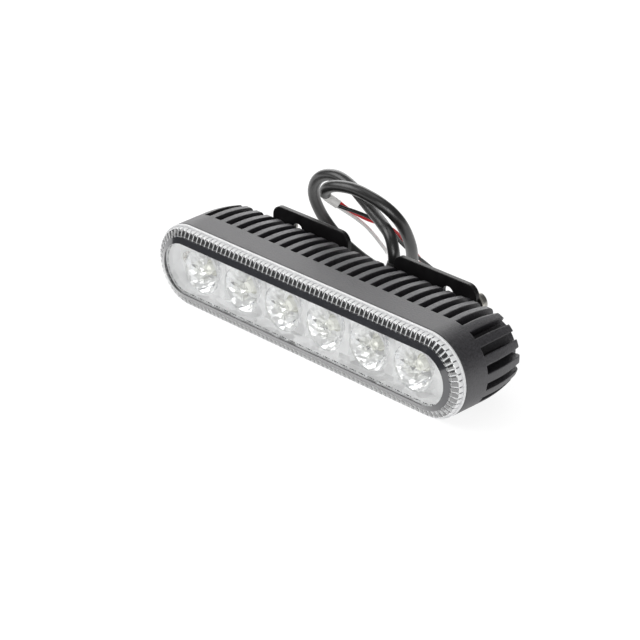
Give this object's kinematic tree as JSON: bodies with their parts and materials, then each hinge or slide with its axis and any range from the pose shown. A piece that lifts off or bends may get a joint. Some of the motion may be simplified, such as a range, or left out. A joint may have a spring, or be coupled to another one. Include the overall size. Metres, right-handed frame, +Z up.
{
  "type": "warning light",
  "caption": "Pill-shaped surface-mount warning light: finned black housing, clear fluted lens with a black band, rear bracket and a coiled lead.",
  "frame": {"origin": "centre of the lamp's footprint, lead left out, on the surface it lies on", "axes": "+X along the lamp's length, +Y from the lens to the bracket, +Z up as the lamp lies in the picture"},
  "size_m": [0.1294, 0.0765, 0.043],
  "materials": {
    "housing": "die-cast, satin black powder coat",
    "outer_lens": "clear moulded polycarbonate",
    "bezel_band": "gloss black print",
    "lens_seal": "matt",
    "reflector_tray": "vacuum-metallised silver",
    "optic": "clear moulded",
    "led": "phosphor yellow under a clear dome",
    "led_board": "white solder mask on aluminium",
    "heat_pad": "matt silicone",
    "board_screws": "plain",
    "link_pins": "plain",
    "driver_board": "green laminate",
    "driver_coil": "ferrite",
    "driver_chip": "moulded",
    "driver_capacitors": "plain can",
    "potting": "cast resin",
    "inner_leads": "wire insulation",
    "strain_relief": "moulded, satin",
    "bracket": "satin black powder coat on steel",
    "bracket_washers": "pale zinc",
    "bracket_screws": "plain",
    "lead_sheath": "smooth satin",
    "inner_sleeve": "matt",
    "wire_red": "wire insulation",
    "wire_black": "wire insulation",
    "wire_white": "wire insulation"
  },
  "bodies": {
    "root": {"housing": "housing", "outer_lens": "outer_lens", "bezel_band": "bezel_band", "lens_seal": "lens_seal", "reflector_tray": "reflector_tray", "optic_1": "optic", "optic_2": "optic", "optic_3": "optic", "optic_4": "optic", "optic_5": "optic", "optic_6": "optic", "led_1": "led", "led_2": "led", "led_3": "led", "led_4": "led", "led_5": "led", "led_6": "led", "led_board": "led_board", "heat_pad": "heat_pad", "board_screws": "board_screws", "link_pins": "link_pins", "driver_board": "driver_board", "driver_coil": "driver_coil", "driver_chip": "driver_chip", "driver_capacitors": "driver_capacitors", "potting": "potting", "inner_leads": "inner_leads", "strain_relief": "strain_relief", "bracket": "bracket", "bracket_washers": "bracket_washers", "bracket_screws": "bracket_screws", "lead_sheath": "lead_sheath", "inner_sleeve": "inner_sleeve", "wire_red": "wire_red", "wire_black": "wire_black", "wire_white": "wire_white"}
  },
  "joints": []
}
